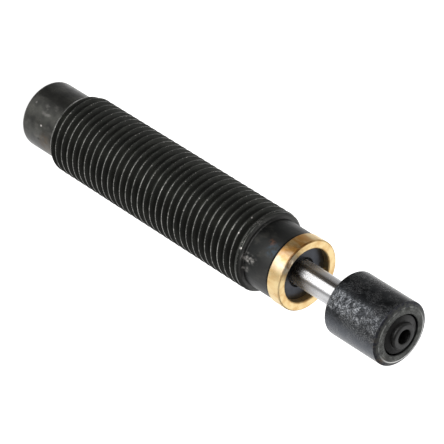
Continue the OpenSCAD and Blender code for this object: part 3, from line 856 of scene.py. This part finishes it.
def makeGland():
    g = gland
    low, top, radius = heights("gland")
    seat = top - g["mouthDepth"]
    land = seat - g["wiperLength"]
    seal = land - g["landLength"]
    grooveLow = land + (g["wiperLength"] - g["ringWidth"]) / 2
    bm = turned([(g["mouth"], top), (radius, top), (radius, grooveLow + g["ringWidth"]),
                 (g["ringGroove"], grooveLow + g["ringWidth"]), (g["ringGroove"], grooveLow),
                 (radius, grooveLow), (radius, low), (g["sealSeat"], low), (g["sealSeat"], seal),
                 (g["land"], seal), (g["land"], land), (g["wiperSeat"], land),
                 (g["wiperSeat"], seat), (g["mouth"], seat)])
    roundRing(bm, radius, top, g["edge"])
    roundRing(bm, g["mouth"], top, g["mouthEdge"])
    finished(bm, "sealGland", blued, "barrel", "gland")


wiper = {"bore": 2.23, "lip": 0.2, "reach": 0.48, "slant": 0.7}


def makeWiper():
    low, top, radius = heights("rod_wiper")
    w = wiper
    seat = top - w["reach"]
    root = w["bore"] + w["lip"]
    bm = turned([(root, low), (radius, low), (radius, seat), (root, seat), (root, top - w["lip"])]
                + arc(root, top - w["lip"], w["lip"], 90, 180, 4)
                + [(w["bore"], seat - w["slant"])])
    finished(bm, "rodWiperLip", rubber, "barrel", "rod_wiper")


makeCap()
makeGland()
makeWiper()
print("front end closed")


# rod, button and its pad

rod = {"end": 1.4, "tip": 0.3, "pistonSeat": 41.6}


def makeRod():
    low, top, radius = heights("piston_rod")
    seat = heights("button")[0]
    bm = turned([(0, low), (rod["end"] - rod["tip"], low), (rod["end"], low + rod["tip"]),
                 (rod["end"], rod["pistonSeat"]), (radius, rod["pistonSeat"]), (radius, seat),
                 (rod["end"], seat), (rod["end"], top - rod["tip"]),
                 (rod["end"] - rod["tip"], top), (0, top)])
    finished(bm, "chromeRod", chrome, "rod", "piston_rod")


def makeButton():
    b = button
    low, top, radius = heights("button")
    floor = heights("button_insert")[0]
    beadLow = floor + b["bead"]
    bm = turned([(b["noseRadius"], low), (radius, low), (radius, top - b["crownDrop"]),
                 (radius - b["crownWidth"] * b["kneeWidth"], top - b["crownDrop"] * b["kneeDrop"]),
                 (radius - b["crownWidth"], top), (b["pocket"], top),
                 (b["pocket"], beadLow + b["beadHeight"]),
                 (b["pocket"] + b["bead"], beadLow + b["beadHeight"]),
                 (b["pocket"] + b["bead"], beadLow),
                 (b["pocket"], beadLow), (b["pocket"], floor), (b["vent"], floor),
                 (b["vent"], low + b["noseGrip"]), (b["noseRadius"], low + b["noseGrip"])])
    roundRing(bm, radius, low, b["rearEdge"], 5)
    roundRing(bm, radius, top - b["crownDrop"], b["edge"], 3)
    roundRing(bm, b["pocket"], top, b["edge"], 2)
    finished(bm, "impactButton", worn, "rod", "button")


def makePad():
    p = pad
    low, top = heights("button_insert")[:2]
    shelf = top - p["shelfDrop"]
    bm = turned([(p["hole"], low), (p["body"], low), (p["body"], low + p["beadLow"]),
                 (p["bead"], low + p["beadLow"]), (p["bead"], low + p["beadHigh"]),
                 (p["body"], low + p["beadHigh"]), (p["body"], shelf),
                 (p["boss"], shelf + p["shelfCone"]), (p["boss"], top), (p["hole"], top)])
    roundRing(bm, p["body"], shelf, p["shelfEdge"], 2)
    roundRing(bm, p["boss"], top, p["bossEdge"], 6)
    roundRing(bm, p["hole"], top, p["holeEdge"], 3)
    # years of blows have left the shelf a little oval, close to the pocket at two sides
    rim = [v for v in bm.verts if v.co.xy.length > (p["body"] - p["ovalWidth"]) * mm
           and v.co.z > (shelf - p["ovalDepth"]) * mm]
    bmesh.ops.scale(bm, verts=rim, vec=(1 - p["oval"], 1 + p["oval"], 1))
    finished(bm, "buttonPad", urethane, "rod", "button_insert")


makeRod()
makeButton()
makePad()
print("rod and button fitted")


# fill screw in the closed end

screw = {"key": 1.5, "keyDepth": 0.9, "chamfer": 0.12}


def makeScrew():
    low, top, radius = heights("fill_screw")
    bm = bmesh.new()
    rim = bmesh.ops.create_circle(bm, segments=48, radius=radius * mm)["verts"]
    corner = screw["key"] / math.sqrt(3)
    socket = bmesh.ops.create_circle(bm, segments=6, radius=corner * mm)["verts"]
    bmesh.ops.translate(bm, verts=bm.verts, vec=(0, 0, low * mm))
    rimEdges = [e for e in bm.edges if e.verts[0] in rim]
    keyEdges = [e for e in bm.edges if e.verts[0] in socket]
    bmesh.ops.bridge_loops(bm, edges=rimEdges + keyEdges)
    for ring, rise in ((rimEdges, top - low), (keyEdges, screw["keyDepth"])):
        grown = bmesh.ops.extrude_edge_only(bm, edges=ring)["geom"]
        bmesh.ops.translate(bm, verts=vertsOf(grown), vec=(0, 0, rise * mm))
        bmesh.ops.contextual_create(bm, geom=edgesOf(grown))
    roundRing(bm, radius, low, screw["chamfer"], 2)
    finished(bm, "portScrew", steel, "barrel", "fill_screw")


# return spring: a closed turn at each end and open turns between, wound by spinning the wire's
# section

coil = {"wire": 0.7, "turns": 7, "closedPitch": 0.742, "steps": 48, "sides": 14}


def makeSpring():
    c = coil
    low, top, radius = heights("return_spring")
    bm = bmesh.new()
    section = bmesh.ops.create_circle(bm, segments=c["sides"], radius=c["wire"] / 2 * mm)["verts"]
    bmesh.ops.rotate(bm, verts=section, cent=(0, 0, 0), matrix=Matrix.Rotation(math.pi / 2, 3, "X"))
    wound, first = radius - c["wire"] / 2, low + c["wire"] / 2
    bmesh.ops.translate(bm, verts=section, vec=(wound * mm, 0, first * mm))
    bmesh.ops.contextual_create(bm, geom=section)
    last = everything(bm)
    openPitch = (top - low - c["wire"] - 2 * c["closedPitch"]) / c["turns"]
    for pitch, turns in ((c["closedPitch"], 1), (openPitch, c["turns"]), (c["closedPitch"], 1)):
        wind = bmesh.ops.spin(bm, geom=last, cent=(0, 0, 0), axis=(0, 0, 1),
                              dvec=(0, 0, pitch * mm / c["steps"]), angle=2 * math.pi * turns,
                              steps=c["steps"] * turns)
        last = wind["geom_last"]
    piece = finished(bm, "returnCoil", springWire, "barrel", "return_spring")
    piece.modifiers.clear()
    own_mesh(piece)


makeScrew()
makeSpring()
print("screw and spring fitted")


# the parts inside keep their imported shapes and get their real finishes

insideFinishes = {
    "fill_seal": rubber, "tube_plug": steel, "pressure_tube": steel, "spring_seat": steel,
    "piston_nut": steel, "check_ring": bronze, "piston": steel, "piston_ring": steel,
    "rod_bearing": bronze, "accumulator_foam": foam, "seal_washer": steel, "rod_seal": sealBlue,
    "gland_ring": rubber,
}
for node, finish in insideFinishes.items():
    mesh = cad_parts[node].data
    mesh.materials.clear()
    mesh.materials.append(finish)
print("inner parts finished")
